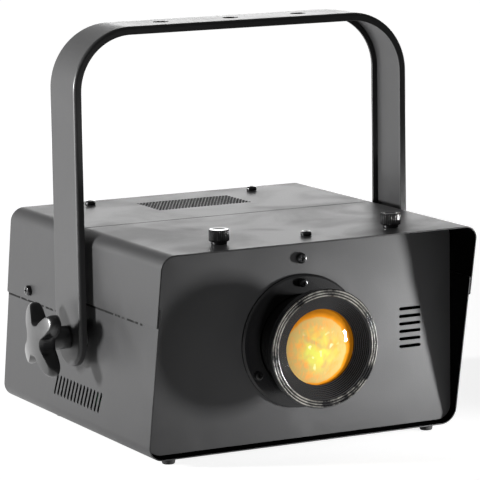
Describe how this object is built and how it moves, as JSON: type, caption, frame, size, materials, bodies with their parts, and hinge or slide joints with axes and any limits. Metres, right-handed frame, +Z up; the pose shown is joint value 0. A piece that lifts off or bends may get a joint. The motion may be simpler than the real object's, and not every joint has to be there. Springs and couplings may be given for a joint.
{
  "type": "multi-effect stage light",
  "caption": "Stage projector in a folded steel case with a hooded front, a sliding focus lens, a tilting yoke with star knobs, and wheels, lamp and fan inside.",
  "frame": {"origin": "the floor under the middle of the bounding box", "axes": "+X to the right seen from the front, +Y to the back, +Z up; the lens looks along -Y"},
  "size_m": [0.3904, 0.3458, 0.3585],
  "materials": {
    "case_paint": "satin black powder coat with a fine texture",
    "yoke_paint": "satin black powder coat with a fine texture",
    "black_plastic": "glossy moulded black",
    "knob_plastic": "satin moulded black",
    "black_steel": "blackened steel",
    "steel": "turned",
    "zinc_plate": "zinc-plated sheet",
    "aluminium": "extruded",
    "glass": "polished, lit amber from behind",
    "ripple_glass": "moulded",
    "foot_rubber": "matte",
    "circuit_board": "green solder mask",
    "lamp_white": "white lamp carrier",
    "display_black": "dark window",
    "colour_disc": "coated colour glass"
  },
  "bodies": {
    "case": {"base_tray": "case_paint", "front_hood_cover": "case_paint", "rear_top_cover": "case_paint", "front_panel": "case_paint", "rear_panel": "case_paint", "lens_flange": "black_plastic", "flange_screw_top": "black_steel", "flange_screw_left": "black_steel", "flange_screw_right": "black_steel", "panel_screw": "black_steel", "hood_screw": "black_steel", "rear_cover_screw_left": "black_steel", "rear_cover_screw_right": "black_steel", "side_cover_screw_left": "black_steel", "side_cover_screw_right": "black_steel", "foot_front_left": "foot_rubber", "foot_front_right": "foot_rubber", "foot_rear_left": "foot_rubber", "foot_rear_right": "foot_rubber", "pivot_boss_left": "steel", "pivot_boss_right": "steel", "optical_plate": "zinc_plate", "condenser_lens": "ripple_glass", "lamp_module": "lamp_white", "heatsink": "aluminium", "heatsink_bracket": "zinc_plate", "effect_motor": "black_steel", "colour_motor": "black_steel", "power_board": "circuit_board", "control_board": "circuit_board", "fan_frame": "black_plastic", "power_inlet": "black_plastic", "fuse_holder": "black_plastic", "data_in_socket": "black_plastic", "data_out_socket": "black_plastic", "display_window": "display_black", "safety_eye": "steel"},
    "yoke": {"yoke": "yoke_paint"},
    "star_knob_left": {"star_knob_left": "knob_plastic", "pivot_stud_left": "steel"},
    "star_knob_right": {"star_knob_right": "knob_plastic", "pivot_stud_right": "steel"},
    "hand_screw_left": {"hand_screw_left": "black_steel"},
    "hand_screw_right": {"hand_screw_right": "black_steel"},
    "focus_barrel": {"focus_barrel": "black_plastic", "front_lens": "glass", "lens_retainer": "black_steel"},
    "effect_wheel": {"effect_wheel": "ripple_glass", "effect_shaft": "steel"},
    "colour_wheel": {"colour_wheel": "colour_disc", "colour_shaft": "steel"},
    "fan_rotor": {"fan_rotor": "black_plastic"},
    "fuse_cap": {"fuse_cap": "knob_plastic"},
    "menu_button_1": {"menu_button_1": "knob_plastic"},
    "menu_button_2": {"menu_button_2": "knob_plastic"},
    "menu_button_3": {"menu_button_3": "knob_plastic"},
    "menu_button_4": {"menu_button_4": "knob_plastic"}
  },
  "joints": [
    {"name": "yoke_tilt", "type": "hinge", "parent": "case", "child": "yoke", "pos_m": [0, -0.0059, 0.092], "axis": [1, 0, 0], "range_deg": [-105, 105]},
    {"name": "star_knob_left_turn", "type": "hinge", "parent": "case", "child": "star_knob_left", "pos_m": [-0.1622, -0.0059, 0.092], "axis": [-1, 0, 0], "continuous": true},
    {"name": "star_knob_right_turn", "type": "hinge", "parent": "case", "child": "star_knob_right", "pos_m": [0.1622, -0.0059, 0.092], "axis": [1, 0, 0], "continuous": true},
    {"name": "hand_screw_left_turn", "type": "hinge", "parent": "case", "child": "hand_screw_left", "pos_m": [-0.082, -0.1404, 0.1846], "axis": [0, 0, 1], "continuous": true},
    {"name": "hand_screw_right_turn", "type": "hinge", "parent": "case", "child": "hand_screw_right", "pos_m": [0.082, -0.1404, 0.1846], "axis": [0, 0, 1], "continuous": true},
    {"name": "focus_slide", "type": "slide", "parent": "case", "child": "focus_barrel", "axis": [0, -1, 0], "range_m": [-0.025, 0.012]},
    {"name": "effect_wheel_spin", "type": "hinge", "parent": "case", "child": "effect_wheel", "pos_m": [0.046, -0.0739, 0.0928], "axis": [0, -1, 0], "continuous": true},
    {"name": "colour_wheel_spin", "type": "hinge", "parent": "case", "child": "colour_wheel", "pos_m": [-0.046, -0.0669, 0.0928], "axis": [0, -1, 0], "continuous": true},
    {"name": "fan_spin", "type": "hinge", "parent": "case", "child": "fan_rotor", "pos_m": [0.08, 0.15025, 0.09345], "axis": [0, 0.9827, 0.185], "continuous": true},
    {"name": "fuse_cap_turn", "type": "hinge", "parent": "case", "child": "fuse_cap", "pos_m": [-0.105, 0.15321, 0.07772], "axis": [0, 0.9827, 0.185], "range_deg": [0, 90]},
    {"name": "menu_button_1_press", "type": "slide", "parent": "case", "child": "menu_button_1", "axis": [0, -0.9827, -0.185], "range_m": [0, 0.0012], "stiffness_N_per_m": 500, "springref_m": -0.0008},
    {"name": "menu_button_2_press", "type": "slide", "parent": "case", "child": "menu_button_2", "axis": [0, -0.9827, -0.185], "range_m": [0, 0.0012], "stiffness_N_per_m": 500, "springref_m": -0.0008},
    {"name": "menu_button_3_press", "type": "slide", "parent": "case", "child": "menu_button_3", "axis": [0, -0.9827, -0.185], "range_m": [0, 0.0012], "stiffness_N_per_m": 500, "springref_m": -0.0008},
    {"name": "menu_button_4_press", "type": "slide", "parent": "case", "child": "menu_button_4", "axis": [0, -0.9827, -0.185], "range_m": [0, 0.0012], "stiffness_N_per_m": 500, "springref_m": -0.0008}
  ]
}
